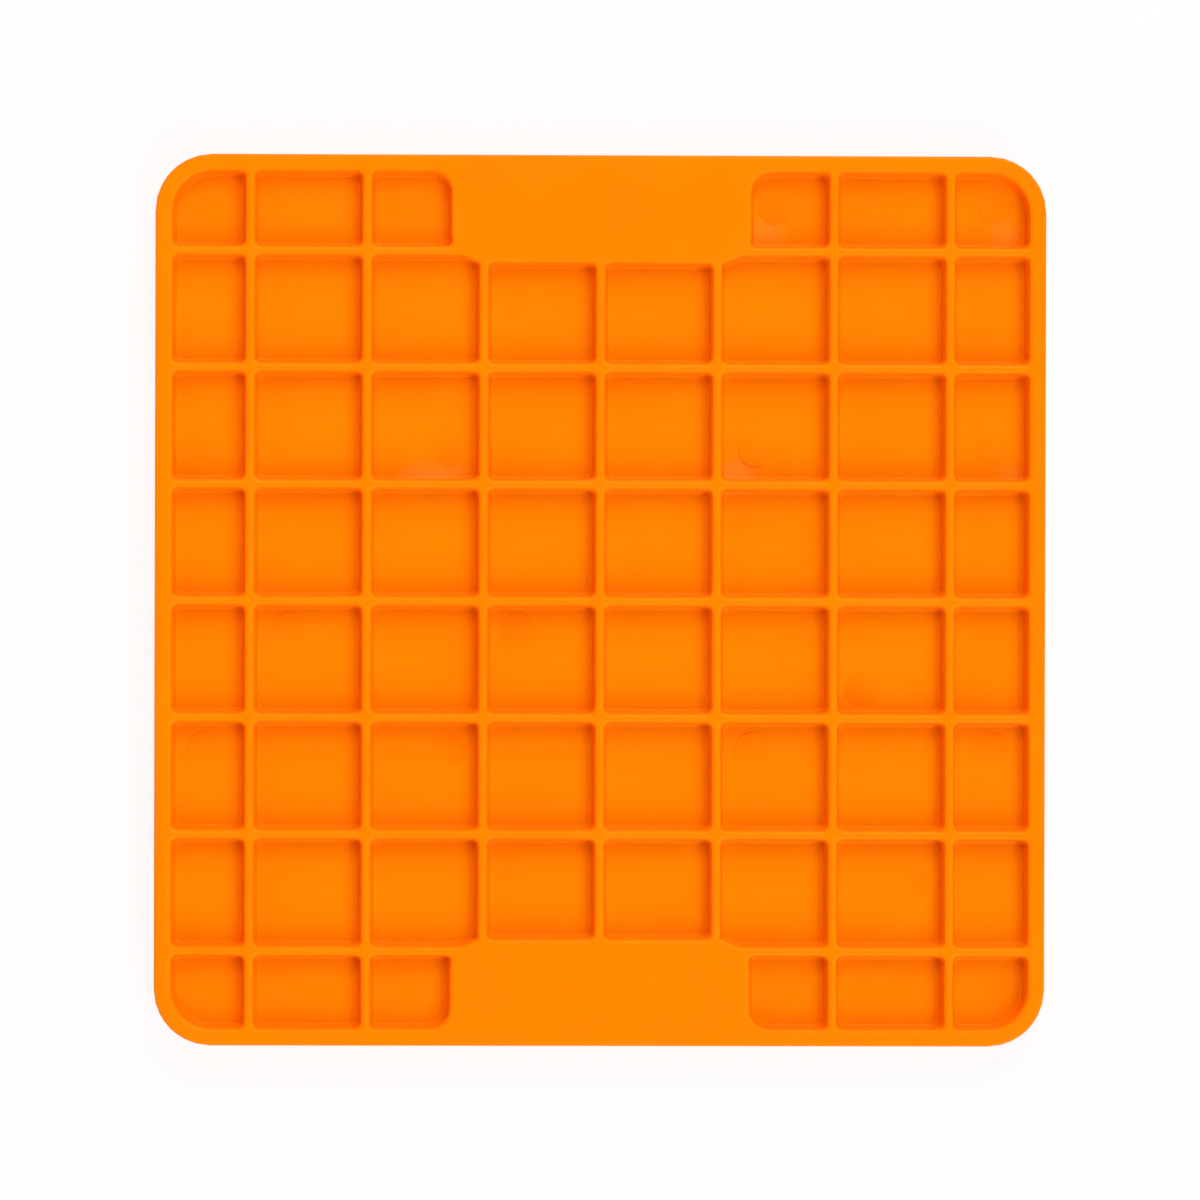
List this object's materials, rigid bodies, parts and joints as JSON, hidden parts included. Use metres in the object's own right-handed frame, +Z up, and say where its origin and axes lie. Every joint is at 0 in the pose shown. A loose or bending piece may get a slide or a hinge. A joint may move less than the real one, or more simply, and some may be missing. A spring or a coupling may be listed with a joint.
{
  "type": "lick mat",
  "caption": "Square lick mat: a hard plastic backing with a rim, crossing ribs and blind pockets, and a soft rubber pad with nubs moulded into its lick face.",
  "frame": {"origin": "middle of the mat, on the plane of the lick-side lip that it rests on", "axes": "+Z up out of the ribbed back, +Y towards the top edge, +X to the right when seen from the back"},
  "size_m": [0.2, 0.2, 0.01],
  "materials": {
    "hard_orange_plastic": "semi-gloss moulded polypropylene",
    "soft_orange_rubber": "matt soft thermoplastic rubber"
  },
  "bodies": {
    "root": {"backing_shell": "hard_orange_plastic", "lick_pad": "soft_orange_rubber"}
  },
  "joints": []
}
